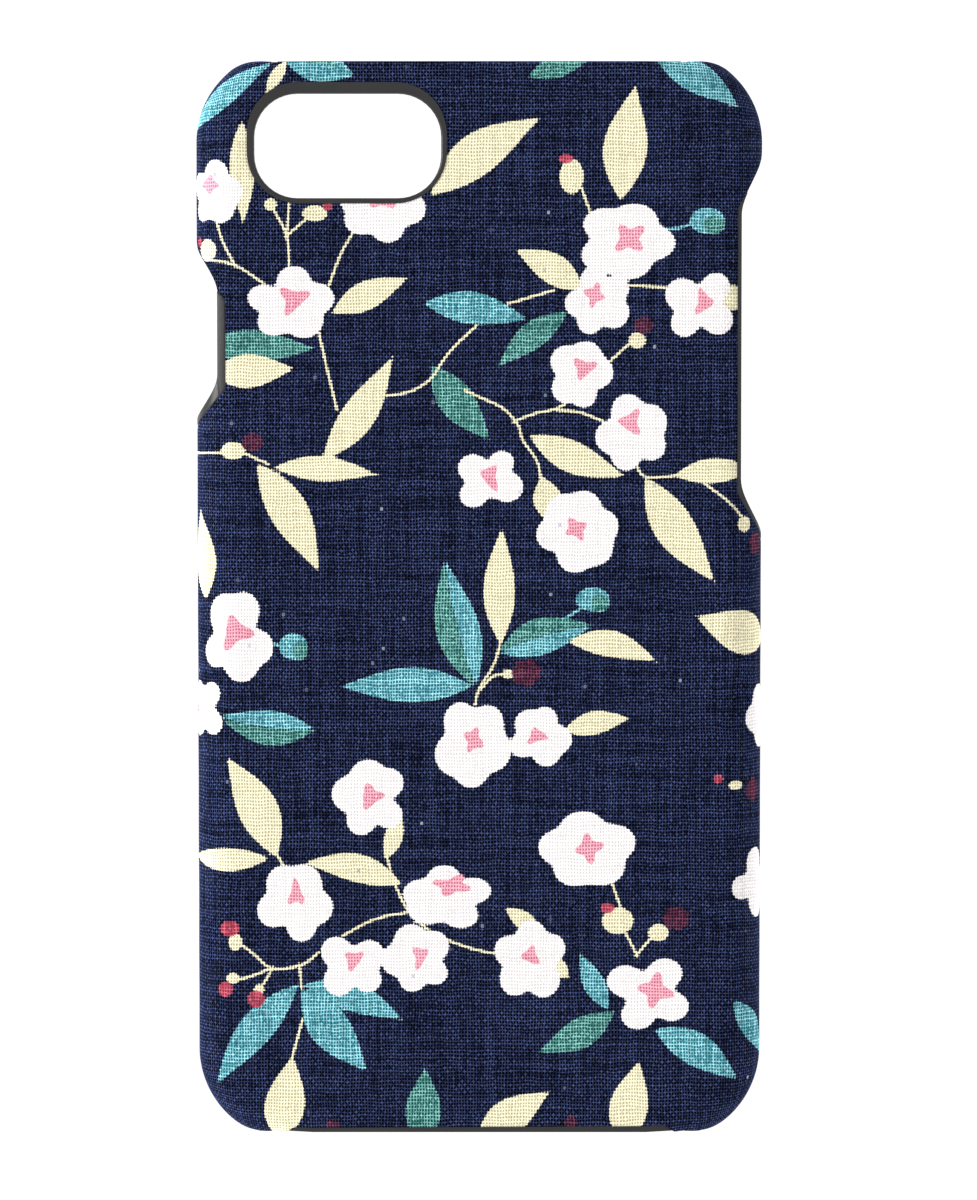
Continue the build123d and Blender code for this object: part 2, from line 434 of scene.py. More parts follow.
teal_leaves = [
    (-36, 59, -25.6, 67.8, 1.8, 0.2),
    (-24.5, 68, -15.3, 65.4, 2.1, 0.2),
    (21.5, 68.5, 32.6, 61.5, 2.2, 0.6),
    (-7, 37.2, 6.4, 35.1, 1.9, 0.4),
    (-0.8, -10.7, -17.7, -10.8, 2.1, -0.2),
    (-22.7, -48.3, -33.3, -61.5, 2, -0.6),
    (-22.4, -48.9, -14, -59.5, 2.4, -0.3),
    (-22.1, -48.4, -9.4, -53, 1.8, 0.7),
    (16.3, -51.6, 12.6, -44.2, 1.3, 0.2),
    (22, -54, 32.7, -60.7, 2, 0.6),
    (31.9, -50.4, 37, -58, 1.6, 0),
]
green_leaves = [
    (-34.5, 32, -20.2, 31.5, 1.9, 0.1),
    (6, 65.4, 14.5, 68.2, 1.3, 0),
    (11, 36.1, 2.2, 29.2, 1.6, -0.4),
    (-6, 29.5, 1.5, 20, 2.1, -0.3),
    (17, -51.8, 7.2, -57.1, 1.8, 0.4),
    (-7.3, -69, -6.8, -58.8, 2.1, 0),
]
# Leaves in two inks, with green to the left of the way from base to tip and teal to the right.
two_tone_leaves = [
    (-0.4, -10.9, -4.4, 5.5, 2.6, 0.5),
    (2.3, -6.5, 14.5, -3, 2.2, 0.5),
    (-20.5, -16.2, -33, -14.4, 2.1, 0.6),
    (-23.3, 67.4, -16, 66.3, 0.9, 0),
]
print(sum(map(len, (cream_leaves, teal_leaves, green_leaves, two_tone_leaves))), "leaves")

# %% Buds, berries and red tips: x, z and half sizes
cream_buds = [
    (11.5, 53, 1.5, 2.2),
    (-34.0, 43.8, 1.5, 1.4),
    (-20.5, 48.4, 1.6, 1.0),
    (17.4, -40.3, 2.0, 1.7),
    (22.5, -41.8, 1.3, 1.1),
    (-30.8, 18.8, 1.6, 1.1),
    (33.2, 9.6, 1.0, 1.0),
    (19.7, 32.6, 1.1, 1.0),
    (-26, 49.5, 0.8, 0.8),
    (-30.7, -43, 0.9, 1.1),
    (-31, -47.6, 0.9, 0.7),
    (-27.7, -49, 0.7, 0.7),
    (3.6, -9.2, 0.8, 0.6),
    (32.2, -23.2, 1.0, 0.6),
]
red_tips = [
    (10.8, 55.2, 1.0, 0.6),
    (-35, 44.8, 0.6, 0.6),
    (-18.9, 49.3, 0.6, 0.6),
    (16.1, -38.7, 0.9, 0.7),
    (-31.4, -41.3, 1.3, 1.0),
    (-32, -49, 1.0, 1.0),
    (-28.1, -50.2, 1.1, 1.1),
    (30, -22.4, 0.6, 0.6),
]
dark_berries = [
    (24.7, -40, 1.7, 1.5),
    (-28.3, 19.9, 1.35, 1.2),
    (34.7, 7.1, 1.3, 1.5),
    (5.9, -9, 1.9, 1.7),
    (34.4, -23.9, 1.3, 1.6),
    (20.5, 34.5, 1.2, 1.1),
    (-18.5, -66.3, 0.9, 0.8),
    (11.5, -65.8, 0.8, 0.8),
]
teal_buds = [(28.4, 47.5, 2.2, 1.6), (-23.3, -5.7, 1.8, 1.65), (14.2, 0.2, 2.1, 1.5)]
print(sum(map(len, (cream_buds, red_tips, dark_berries, teal_buds))), "buds, tips and berries")

# %% Stems, as points that a smooth line passes through
cream_stems = [
    [(-32.9, 47.8), (-32, 44.9), (-30.5, 42)],
    [(-33.6, 42.6), (-30.5, 42), (-26.9, 39.7)],
    [(-26, 49.5), (-24, 45.6), (-23.7, 41)],
    [(-23.7, 49.5), (-24, 45.6)],
    [(-21.5, 47.8), (-24, 45.6)],
    [(-15.2, 46.8), (-17.1, 43.7), (-18.7, 39.6)],
    [(12.8, 51.4), (14.2, 47.5)],
    [(9.1, 38.8), (3.7, 37.2)],
    [(17.6, 39.5), (23.1, 39.2), (25.3, 38.8)],
    [(-0.5, 34.3), (-3.7, 31.2), (-6.1, 27.8), (-8.7, 26.2), (-11.5, 25.7)],
    [(-20, 33.5), (-19, 29), (-17.8, 24)],
    [(-37, 18.3), (-32.2, 18.6)],
    [(-29.6, 18.6), (-26.5, 17.2)],
    [(-1.7, 26.3), (0.1, 25.5), (3, 24.1), (4.9, 21.9), (5.4, 20.2), (7.3, 17.3), (7.8, 14)],
    [(4.4, 22.5), (7, 23.5), (9.7, 24.1), (11.8, 25.5)],
    [(9.7, 23.9), (12.6, 23.6), (15.7, 22.4)],
    [(15.9, 29.6), (18.3, 31.8), (19.7, 32.8)],
    [(19.5, 17.4), (20.7, 15.6), (24.8, 15.7)],
    [(27.5, 15.2), (31.1, 12.5), (33, 10.3)],
    [(4, -9.3), (1.8, -9.4), (0.3, -10.9)],
    [(2.7, -5), (1.8, -8), (0, -11), (-0.5, -12.9)],
    [(-25.4, -32), (-24.3, -33.8)],
    [(-11.9, -31), (-10.8, -35.1), (-9.1, -38.8), (-7.3, -40.7), (-5, -42.3), (-1, -43.8), (2.2, -44.5)],
    [(-8.7, -39.2), (-11.7, -39.7), (-14.3, -40.6), (-17, -42.1)],
    [(-20.3, -44.4), (-22.4, -45.9), (-26.1, -46.3), (-28.6, -44.3), (-30.7, -42.8)],
    [(-26.1, -46.3), (-29, -47.4), (-31, -47.8)],
    [(-26.1, -46.5), (-27.6, -49)],
    [(-22.6, -46), (-22.4, -48.6)],
    [(-22.3, -53), (-23.5, -57.4)],
    [(16.6, -35.3), (18, -39.4)],
    [(19.8, -44.6), (18.2, -41.5)],
    [(19.8, -44.6), (21.8, -42.2)],
]
teal_stems = [
    [(22.7, 46.5), (25, 46.6), (27, 47.4)],
    [(10.7, -2.2), (12, -1.4), (13.4, -0.4)],
    [(-26, -5.4), (-24.4, -5.6)],
]
print(len(cream_stems) + len(teal_stems), "stems")

# %% [markdown]
# ## Stems thinner than a grid cell
#
# A stem is a third of a millimetre wide and the grid's cells are half a millimetre, so a plain distance
# would break it into beads. Each stem is stored as two fields instead: the distance to the left of its
# line, which passes evenly through zero, and the plain distance from it, which ends it.


# %% Stems as two fields
nowhere = 99.0  # further than any stem


def smooth_line(points, steps=5):
    """Points along Catmull-Rom arcs through the given points."""
    p = np.array(points, float)
    p[:, 0] = unroll(p[:, 0])
    p = np.vstack([2 * p[0] - p[1], p, 2 * p[-1] - p[-2]])
    t = (np.arange(steps * (len(p) - 3) + 1) / steps)[:, None]
    k = np.minimum(t.astype(int), len(p) - 4)[:, 0]
    t = t - k[:, None]
    a, b, c, d = p[k], p[k + 1], p[k + 2], p[k + 3]
    return (2 * b + (c - a) * t + (2 * a - 5 * b + 4 * c - d) * t**2 + (3 * b - a - 3 * c + d) * t**3) / 2


def stem_fields(stems):
    """For each grid point, the nearest stretch's signed sideways distance, and the plain distance to it.

    Interpolated between grid points, the signed one crosses zero exactly on the line, so even a line
    thinner than a grid cell stays even."""
    near = np.full(sheet_across.shape, nowhere)
    side = np.full(sheet_across.shape, nowhere)
    for points in stems:
        line = smooth_line(points)
        for a, b in zip(line[:-1], line[1:]):
            way = (b - a) / np.hypot(*(b - a))
            dx, dz = sheet_across - a[0], sheet_along - a[1]
            forward = dx * way[0] + dz * way[1]
            left = dz * way[0] - dx * way[1]
            off_end = np.maximum(np.maximum(forward - np.hypot(*(b - a)), -forward), 0)
            distance = np.hypot(left, off_end)
            closer = distance < near
            near = np.where(closer, distance, near)
            side = np.where(closer, left, side)
    return side, near


print("a stem of 3 points has", len(smooth_line(cream_stems[0])), "points once smoothed")


# %% Joining the motifs of each ink
def largest(shapes):
    """The union of shapes: the largest of their distances."""
    return np.maximum.reduce(list(shapes))


rng = np.random.default_rng(7)
stem_groups = 4  # branches that meet go into different fields, so that no false line forms between them
two_tone = [leaf(*row) for row in two_tone_leaves]
inks = {
    "teal": largest(
        [leaf(*row)[0] for row in teal_leaves]
        + [np.minimum(inside, -side) for inside, side in two_tone]
        + [spot(*row) for row in teal_buds]
    ),
    "green": largest(
        [leaf(*row)[0] for row in green_leaves]
        + [np.minimum(inside, side) for inside, side in two_tone]
        # the shaded side of each bud
        + [spot(x + 0.9, z - 0.5, a - 0.9, b - 0.4) for x, z, a, b in teal_buds]
    ),
    "cream": largest([leaf(*row)[0] for row in cream_leaves] + [spot(*row) for row in cream_buds]),
    "white": largest(blossom(rng, *row[:5]) for row in blossoms),
    "pink": largest(heart(rng, *row[5:]) for row in blossoms),
    "red": largest(spot(*row) for row in red_tips),
    "berry": largest(berry(rng, *row) for row in dark_berries),
}
for k in range(stem_groups):
    inks[f"stem_side_{k}"], inks[f"stem_near_{k}"] = stem_fields(cream_stems[k::stem_groups])
inks["sprig_side"], inks["sprig_near"] = stem_fields(teal_stems)
print("inks", list(inks))

# %% [markdown]
# ## The cloth as a mesh
#
# The grid is laid over the shell, its cut edge dips a little as a glued edge does, and Solidify gives it
# the cloth's thickness inwards. Faces, the flat coordinates (as a UV map, in millimetres) and the inks go
# into the mesh as whole arrays. A texture image would need unwrapping and blurs from close by, while these
# attributes stay with the points.


# %% Building the cloth
cut_dip, dip_reach = 0.12, 0.25  # how deep the glued edge dips, and how far in from the cut
ripple_depth = 0.008


def finished(piece):
    """Applies the piece's modifiers, so that its mesh is the final one."""
    depsgraph = bpy.context.evaluated_depsgraph_get()
    mesh = bpy.data.meshes.new_from_object(piece.evaluated_get(depsgraph))
    piece.modifiers.clear()
    piece.data = mesh
    return piece


def cloth_points():
    """The draped grid, in metres, moved inwards by a dip at the cut and a slow ripple.

    The dip is cut_dip * exp(-distance from the cut / dip_reach). The ripple is a sum of two sine waves,
    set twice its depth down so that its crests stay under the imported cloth's surface."""
    x, y, z = wrapped(sheet_across, sheet_along)
    along_x = np.stack(wrapped(sheet_across + tiny, sheet_along), -1) - np.stack((x, y, z), -1)
    along_z = np.stack(wrapped(sheet_across, sheet_along + tiny), -1) - np.stack((x, y, z), -1)
    inwards = -np.cross(along_x, along_z)
    inwards /= np.linalg.norm(inwards, axis=1)[:, None]
    waves = np.sin(sheet_across * 0.55 + 1.3 * np.sin(sheet_along * 0.21)) + np.sin(sheet_along * 0.47)
    from_cut = np.maximum(trim(sheet_across, sheet_along), 0)
    dip = cut_dip * np.exp(-from_cut / dip_reach) + 2 * ripple_depth + ripple_depth * waves
    return (np.stack((x, y, z), -1) + inwards * dip[:, None]) * MM


def build_cloth():
    """The cloth's object: the draped grid with its flat coordinates and inks, made thick."""
    mesh = bpy.data.meshes.new("cloth")
    mesh.from_pydata(cloth_points().tolist(), [], sheet_cells.tolist())
    uv = mesh.uv_layers.new(name="flat_sheet")
    loops = sheet_cells.ravel()
    uv.data.foreach_set("uv", np.stack((sheet_across[loops], sheet_along[loops]), -1).ravel())
    for name, values in inks.items():
        mesh.attributes.new(name, "FLOAT", "POINT").data.foreach_set("value", values.astype(np.float32))
    cloth = bpy.data.objects.new("printed_cloth", mesh)
    bpy.context.scene.collection.objects.link(cloth)
    solidify = cloth.modifiers.new("thickness", "SOLIDIFY")
    solidify.thickness = cloth_thickness * MM
    solidify.offset = -1
    finished(cloth)
    cloth.data.shade_smooth()
    cloth.data.set_sharp_from_angle(angle=radians(50))
    return cloth


cloth = build_cloth()
cloth.data.calc_loop_triangles()
print("cloth", len(cloth.data.loop_triangles), "triangles")

# %% [markdown]
# ## The moulded shell
#
# The shell's shape is already right, but a moulded edge is never perfectly sharp. A copy of its mesh is
# merged, and a Bevel rounds each sharp edge by a tenth of a millimetre, so that it catches a thin line of
# light. Weighted Normal then lets the large flat faces decide the shading, so that they look flat. The
# shell could be modelled afresh, but then its openings might not meet the cloth.


# %% Building the shell
weld = 0.001 * MM  # points closer than this are one point


def merged_copy(node, name):
    """A copy of a node's mesh with its doubled points merged and its flat faces joined."""
    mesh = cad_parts[node].data.copy()
    mesh.materials.clear()
    work = bmesh.new()
    work.from_mesh(mesh)
    bmesh.ops.remove_doubles(work, verts=work.verts, dist=weld)
    bmesh.ops.dissolve_degenerate(work, edges=work.edges, dist=weld)
    bmesh.ops.dissolve_limit(
        work, angle_limit=radians(0.5), verts=work.verts, edges=work.edges, use_dissolve_boundaries=False
    )
    work.to_mesh(mesh)
    work.free()
    piece = bpy.data.objects.new(name, mesh)
    bpy.context.scene.collection.objects.link(piece)
    return piece


shell = merged_copy("shell", "moulded_shell")
bevel = shell.modifiers.new("soft_edges", "BEVEL")
bevel.width = 0.1 * MM
bevel.segments = 2
bevel.limit_method = "ANGLE"
bevel.angle_limit = radians(35)
bevel.harden_normals = False
finished(shell)
shell.data.shade_smooth()
shell.data.set_sharp_from_angle(angle=radians(38))
even = shell.modifiers.new("even_shading", "WEIGHTED_NORMAL")
even.weight = 100
even.keep_sharp = True
finished(shell)
print("shell", len(shell.data.polygons), "faces")

# %% [markdown]
# ## Small helpers for materials
#
# A material is a tree of nodes. `calc` adds one Math node and hands back its output, so that a formula can
# be written almost as on paper.


# %% Node helpers
def put(tree, kind, **settings):
    """A new node with its settings."""
    made = tree.nodes.new(kind)
    for name, value in settings.items():
        setattr(made, name, value)
    return made


def feed(tree, socket, value):
    """Links a socket, or sets its own value."""
    if isinstance(value, bpy.types.NodeSocket):
        tree.links.new(value, socket)
    else:
        socket.default_value = value


def calc(tree, operation, *values, clamp=False):
    """One Math node."""
    made = put(tree, "ShaderNodeMath", operation=operation, use_clamp=clamp)
    for socket, value in zip(made.inputs, values):
        feed(tree, socket, value)
    return made.outputs[0]


def blend_colour(tree, factor, first, second):
    """One colour Mix node."""
    made = put(tree, "ShaderNodeMix", data_type="RGBA")
    for index, value in ((0, factor), (6, first), (7, second)):
        feed(tree, made.inputs[index], value)
    return made.outputs[2]


def rgb(red, green, blue):
    """A colour given as screen values from 0 to 255, made linear."""
    screen = np.array([red, green, blue]) / 255
    linear = np.where(screen <= 0.04045, screen / 12.92, ((screen + 0.055) / 1.055) ** 2.4)
    return (*linear.tolist(), 1.0)


def new_group(name, inputs, outputs):
    """A shader node group with float or vector inputs and float or colour outputs."""
    group = bpy.data.node_groups.new(name, "ShaderNodeTree")
    for label, kind, value in inputs:
        socket = group.interface.new_socket(label, in_out="INPUT", socket_type=kind)
        if value is not None:
            socket.default_value = value
    for label, kind in outputs:
        group.interface.new_socket(label, in_out="OUTPUT", socket_type=kind)
    return group, put(group, "NodeGroupInput"), put(group, "NodeGroupOutput")


print("a screen grey of 128 is linear", round(rgb(128, 128, 128)[0], 3))

# %% [markdown]
# ## The plain weave
#
# In a plain weave each warp thread goes over one weft thread and under the next. With u and v counting
# the threads, sin(pi u) sin(pi v) is positive where the warp is on top and negative where the weft is.
# A thread's own round back is |sin|. The higher of the two threads is what shows, and the four corners of
# each crossing are small holes, which the material darkens with painted shade. Threads modelled one by
# one would be millions of faces, so the weave is a formula in the material, and a slow noise bends its
# lines as real threads wander.


# %% The weave as a node group
mean_uneven = 1.75  # what the noises behind the slubs add up to on average
fleck_contrast, fleck_start = 700.0, 699.2  # about one crossing in 900 shows a pale fleck


def weave_group():
    """The weave: thread height, ridges, which thread is on top, thick and thin places, and flecks."""
    group, source, result = new_group(
        "plain_weave",
        [
            ("Sheet", "NodeSocketVector", None),
            ("Warp pitch", "NodeSocketFloat", 0.36),
            ("Weft pitch", "NodeSocketFloat", 0.43),
            ("Drift", "NodeSocketFloat", 1.2),
        ],
        [
            ("Height", "NodeSocketFloat"),
            ("Ridge", "NodeSocketFloat"),
            ("Warp over weft", "NodeSocketFloat"),
            ("Slub", "NodeSocketFloat"),
            ("Fleck", "NodeSocketFloat"),
        ],
    )
    drift = put(group, "ShaderNodeTexNoise", noise_dimensions="2D")
    drift.inputs["Scale"].default_value = 0.3
    drift.inputs["Detail"].default_value = 2.5
    group.links.new(source.outputs["Sheet"], drift.inputs["Vector"])
    wander = put(group, "ShaderNodeSeparateColor")
    group.links.new(drift.outputs["Color"], wander.inputs[0])
    place = put(group, "ShaderNodeSeparateXYZ")
    group.links.new(source.outputs["Sheet"], place.inputs[0])
    count = []
    for axis, pitch in ((0, "Warp pitch"), (1, "Weft pitch")):
        threads = calc(group, "DIVIDE", place.outputs[axis], source.outputs[pitch])
        shift = calc(group, "MULTIPLY", wander.outputs[axis], source.outputs["Drift"])
        count.append(calc(group, "ADD", threads, shift))
    waves = [calc(group, "SINE", calc(group, "MULTIPLY", n, pi)) for n in count]
    backs = [calc(group, "ABSOLUTE", wave) for wave in waves]
    over = calc(group, "MULTIPLY", waves[0], waves[1])
    warp = calc(group, "MULTIPLY", backs[0], calc(group, "MULTIPLY_ADD", over, 0.5, 0.5))
    weft = calc(group, "MULTIPLY", backs[1], calc(group, "MULTIPLY_ADD", over, -0.5, 0.5))
    streaks = []
    for long_x, long_z in ((1.0, 0.03), (0.03, 1.0)):
        stretched = put(group, "ShaderNodeCombineXYZ")
        feed(group, stretched.inputs[0], calc(group, "MULTIPLY", count[0], long_x))
        feed(group, stretched.inputs[1], calc(group, "MULTIPLY", count[1], long_z))
        streak = put(group, "ShaderNodeTexNoise", noise_dimensions="2D")
        streak.inputs["Scale"].default_value = 0.9
        streak.inputs["Detail"].default_value = 1
        group.links.new(stretched.outputs[0], streak.inputs["Vector"])
        streaks.append(streak.outputs["Fac"])
    crossing = put(group, "ShaderNodeCombineXYZ")
    feed(group, crossing.inputs[0], calc(group, "FLOOR", count[0]))
    feed(group, crossing.inputs[1], calc(group, "FLOOR", count[1]))
    chance = put(group, "ShaderNodeTexWhiteNoise", noise_dimensions="2D")
    group.links.new(crossing.outputs[0], chance.inputs["Vector"])
    fibres = put(group, "ShaderNodeTexNoise", noise_dimensions="2D")
    fibres.inputs["Scale"].default_value = 2.6
    fibres.inputs["Detail"].default_value = 3
    group.links.new(source.outputs["Sheet"], fibres.inputs["Vector"])
    speckle = calc(group, "MULTIPLY_ADD", chance.outputs["Value"], 0.5, fibres.outputs["Fac"])
    uneven = calc(group, "ADD", speckle, calc(group, "ADD", *streaks))
    fleck = calc(group, "MULTIPLY_ADD", chance.outputs["Value"], fleck_contrast, -fleck_start, clamp=True)
    group.links.new(fleck, result.inputs["Fleck"])
    group.links.new(calc(group, "MAXIMUM", warp, weft), result.inputs["Height"])
    group.links.new(calc(group, "MAXIMUM", *backs), result.inputs["Ridge"])
    group.links.new(over, result.inputs["Warp over weft"])
    group.links.new(calc(group, "SUBTRACT", uneven, mean_uneven), result.inputs["Slub"])
    return group


plain_weave = weave_group()
print("weave group", len(plain_weave.nodes), "nodes")

# %% [markdown]
# ## Printed cotton
#
# Each ink has two colours: what the raised threads show, and the deeper colour down between them, which is
# painted shade in the gaps. The navy ground comes first, and the other inks cover it in the printer's
# order.
# The weave then picks between thread and gap: the ridge of the threads to a power. A high power leaves a
# thin light net on the dark inks, and a low one leaves small dark dots of painted shade on the pale inks,
# whose light fills the gaps. The print's edge follows the threads, so it wanders by a fraction of a thread.
#
# The light comes from one side, so warp and weft take it differently, and this is painted into the colour
# as shade. It shows most on the bare ground, where the crossings where the warp is on top are painted a
# little darker. Seen at a slant, Layer Weight lifts the tone of the colour there: a painted sheen for the
# threads' bright sides, which hide the gaps, as on the nap of cotton.

# %% Ink colours, linear: raised thread, then the painted shade in the gap between threads
dye = 0.765  # the bright studio lifts every colour, so the dyes are this much deeper
ink_and_gap_shade_colours = {
    "ground": ((0.043, 0.060, 0.155), (0.0, 0.0001, 0.002)),
    "teal": ((0.42, 0.80, 0.87), (0.004, 0.15, 0.20)),
    "green": ((0.28, 0.62, 0.57), (0.003, 0.075, 0.07)),
    "cream": ((1.02, 0.96, 0.68), (0.36, 0.33, 0.21)),
    "white": ((1.04, 1.02, 1.01), (0.62, 0.58, 0.58)),
    "pink": ((1.04, 0.50, 0.60), (0.38, 0.09, 0.14)),
    "red": ((0.70, 0.14, 0.215), (0.24, 0.03, 0.05)),
    "berry": ((0.20, 0.06, 0.11), (0.02, 0.006, 0.016)),
}
lint = (0.24, 0.28, 0.38)
light_inks = ("cream", "white", "pink")
stem_half = 0.17
stem_end = 0.4  # a stem stops this far past its last point
edge_softness = 0.09
edge_follow, edge_middle = 0.22, 0.13  # how far the print's edge follows the threads' height
dark_net, pale_net = 16.0, 3.0  # the powers that thin the net of threads, on dark and pale inks
dark_variety, pale_variety = 0.36, 0.10  # how much the slubs change the tone
ground_painted_shade, ink_painted_shade = 0.45, 0.07  # painted shade for the light from one side: how unlike warp and weft look, on the bare ground and on the inks
painted_edge_sheen = 1.1  # painted sheen: seen at a slant, the tone is lifted, for the threads' bright sides that hide the dark gaps between them


def dyed(colour):
    """A colour with the dye's depth, as a shader's four numbers."""
    return (*[dye * part for part in colour], 1.0)


print(len(ink_and_gap_shade_colours), "inks")


# %% The cloth's material
def cotton_material():
    """Printed cotton: ink by ink over the ground, then the weave's net with painted shade in its gaps, tone
    with painted crossing shade and a painted sheen, and relief.
    """
    material = bpy.data.materials.new("printed_cotton")
    material.use_nodes = True
    tree = material.node_tree
    shader = tree.nodes["Principled BSDF"]
    sheet = put(tree, "ShaderNodeUVMap", uv_map="flat_sheet")
    weave = put(tree, "ShaderNodeGroup", node_tree=plain_weave)
    tree.links.new(sheet.outputs[0], weave.inputs["Sheet"])
    jagged = calc(tree, "MULTIPLY_ADD", weave.outputs["Height"], edge_follow, -edge_middle)

    def ink_field(name):
        """One of the cloth's distances, in millimetres."""
        return put(tree, "ShaderNodeAttribute", attribute_name=name).outputs["Fac"]

    def coverage(distance):
        """From a distance in millimetres to how much of the ink is there."""
        moved = calc(tree, "ADD", distance, jagged)
        return calc(tree, "MULTIPLY_ADD", moved, 1 / edge_softness, 0.5, clamp=True)

    def line_coverage(side, near):
        """How much of a stem is there: near enough to its line sideways, and not past its end."""
        along_line = coverage(calc(tree, "SUBTRACT", stem_half, calc(tree, "ABSOLUTE", ink_field(side))))
        not_past = coverage(calc(tree, "SUBTRACT", stem_end, ink_field(near)))
        return calc(tree, "MULTIPLY", along_line, not_past)

    layers = [("teal", coverage(ink_field("teal"))), ("teal", line_coverage("sprig_side", "sprig_near"))]
    layers.append(("green", coverage(ink_field("green"))))
    layers += [("cream", line_coverage(f"stem_side_{k}", f"stem_near_{k}")) for k in range(stem_groups)]
    layers += [(name, coverage(ink_field(name))) for name in ("cream", "white", "pink", "red", "berry")]
    thread_colour, gap_shade_colour = [dyed(colour) for colour in ink_and_gap_shade_colours["ground"]]
    pale = 0.0
    printed = 0.0
    for name, amount in layers:
        printed = calc(tree, "MAXIMUM", printed, amount)
        thread_colour = blend_colour(tree, amount, thread_colour, dyed(ink_and_gap_shade_colours[name][0]))
        gap_shade_colour = blend_colour(tree, amount, gap_shade_colour, dyed(ink_and_gap_shade_colours[name][1]))
        if name in light_inks:
            pale = calc(tree, "MAXIMUM", pale, amount)
    sharpness = calc(tree, "MULTIPLY_ADD", pale, pale_net - dark_net, dark_net)
    thicker = calc(tree, "MULTIPLY_ADD", weave.outputs["Slub"], 0.11, weave.outputs["Ridge"], clamp=True)
    net = calc(tree, "POWER", thicker, sharpness)
    # painted shade: the net mixes each ink's thread colour with its darker gap colour
    woven = blend_colour(tree, net, gap_shade_colour, thread_colour)
    linted = blend_colour(tree, weave.outputs["Fleck"], woven, dyed(lint))
    tone = put(tree, "ShaderNodeHueSaturation")
    variety = calc(tree, "MULTIPLY_ADD", pale, pale_variety - dark_variety, dark_variety)
    # painted sheen: Layer Weight's facing, squared, lifts the base colour's tone at a slant
    facing = put(tree, "ShaderNodeLayerWeight")
    painted_sheen = calc(tree, "MULTIPLY", calc(tree, "POWER", facing.outputs["Facing"], 2.0), painted_edge_sheen)
    value = calc(tree, "MULTIPLY_ADD", weave.outputs["Slub"], variety, 1.0)
    # painted shade: the crossings where the warp is on top are darker, most on the bare ground
    painted_shade_depth = calc(tree, "MULTIPLY_ADD", printed, ground_painted_shade - ink_painted_shade, -ground_painted_shade)
    painted_crossing_shade = calc(tree, "MULTIPLY", weave.outputs["Warp over weft"], painted_shade_depth)
    value_and_painted_sheen = calc(tree, "ADD", value, painted_sheen)
    feed(tree, tone.inputs["Value"], calc(tree, "MULTIPLY", value_and_painted_sheen, calc(tree, "ADD", painted_crossing_shade, 1)))
    tree.links.new(linted, tone.inputs["Color"])
    tree.links.new(tone.outputs[0], shader.inputs["Base Color"])
    bump = put(tree, "ShaderNodeBump")
    bump.inputs["Strength"].default_value = 0.5
    bump.inputs["Distance"].default_value = 0.08 * MM
    tree.links.new(weave.outputs["Height"], bump.inputs["Height"])
    tree.links.new(bump.outputs[0], shader.inputs["Normal"])
    shader.inputs["Roughness"].default_value = 0.85
    shader.inputs["Specular IOR Level"].default_value = 0.02
    shader.inputs["Sheen Weight"].default_value = 0.03
    shader.inputs["Sheen Roughness"].default_value = 0.22
    shader.inputs["Sheen Tint"].default_value = (0.7, 0.8, 1.0, 1.0)
    return material


cotton = cotton_material()
cloth.data.materials.append(cotton)
print("cotton", len(cotton.node_tree.nodes), "nodes")

# %% [markdown]
# ## Moulded plastic and glue
#
# The shell is dark grey polycarbonate with a fine spark-eroded texture: a satin surface whose grain is
# finer than a hair. Handling polishes it in places, which a slow noise in the roughness shows. The glue
# line is a dark film seen only as a hair's breadth at the trimmed edges. Both are the same kind of
# surface with other values, so one group of grain and one function serve them.


# %% Grain as a node group, used by the plastic and the glue
def grain_group():
    """Grain: a fine noise for the relief, and one fifty times coarser for the patches."""
    group, source, result = new_group(
        "fine_grain",
        [("Place", "NodeSocketVector", None), ("Scale", "NodeSocketFloat", 4000.0)],
        [("Grain", "NodeSocketFloat"), ("Patch", "NodeSocketFloat")],
    )
    fine = put(group, "ShaderNodeTexNoise")
    feed(group, fine.inputs["Scale"], source.outputs["Scale"])
    fine.inputs["Detail"].default_value = 2
    slow = put(group, "ShaderNodeTexNoise")
    feed(group, slow.inputs["Scale"], calc(group, "MULTIPLY", source.outputs["Scale"], 0.02))
    slow.inputs["Detail"].default_value = 3
    for texture, label in ((fine, "Grain"), (slow, "Patch")):
        group.links.new(source.outputs["Place"], texture.inputs["Vector"])
        group.links.new(texture.outputs["Fac"], result.inputs[label])
    return group


fine_grain = grain_group()
print("grain group", len(fine_grain.nodes), "nodes")
wear = 0.18  # how much the roughness changes from patch to patch


def grained(name, dark, light, roughness, scale, depth):
    """A moulded surface: grain in the bump, slow patches in the colour and the roughness."""
    material = bpy.data.materials.new(name)
    material.use_nodes = True
    tree = material.node_tree
    shader = tree.nodes["Principled BSDF"]
    place = put(tree, "ShaderNodeTexCoord")
    grain = put(tree, "ShaderNodeGroup", node_tree=fine_grain)
    grain.inputs["Scale"].default_value = scale
    tree.links.new(place.outputs["Object"], grain.inputs["Place"])
    tree.links.new(blend_colour(tree, grain.outputs["Patch"], dark, light), shader.inputs["Base Color"])
    rough = calc(tree, "MULTIPLY_ADD", grain.outputs["Patch"], wear, roughness - wear / 2)
    tree.links.new(rough, shader.inputs["Roughness"])
    bump = put(tree, "ShaderNodeBump")
    bump.inputs["Strength"].default_value = 0.25
    bump.inputs["Distance"].default_value = depth * MM
    tree.links.new(grain.outputs["Grain"], bump.inputs["Height"])
    tree.links.new(bump.outputs[0], shader.inputs["Normal"])
    shader.inputs["Specular IOR Level"].default_value = 0.3
    return material


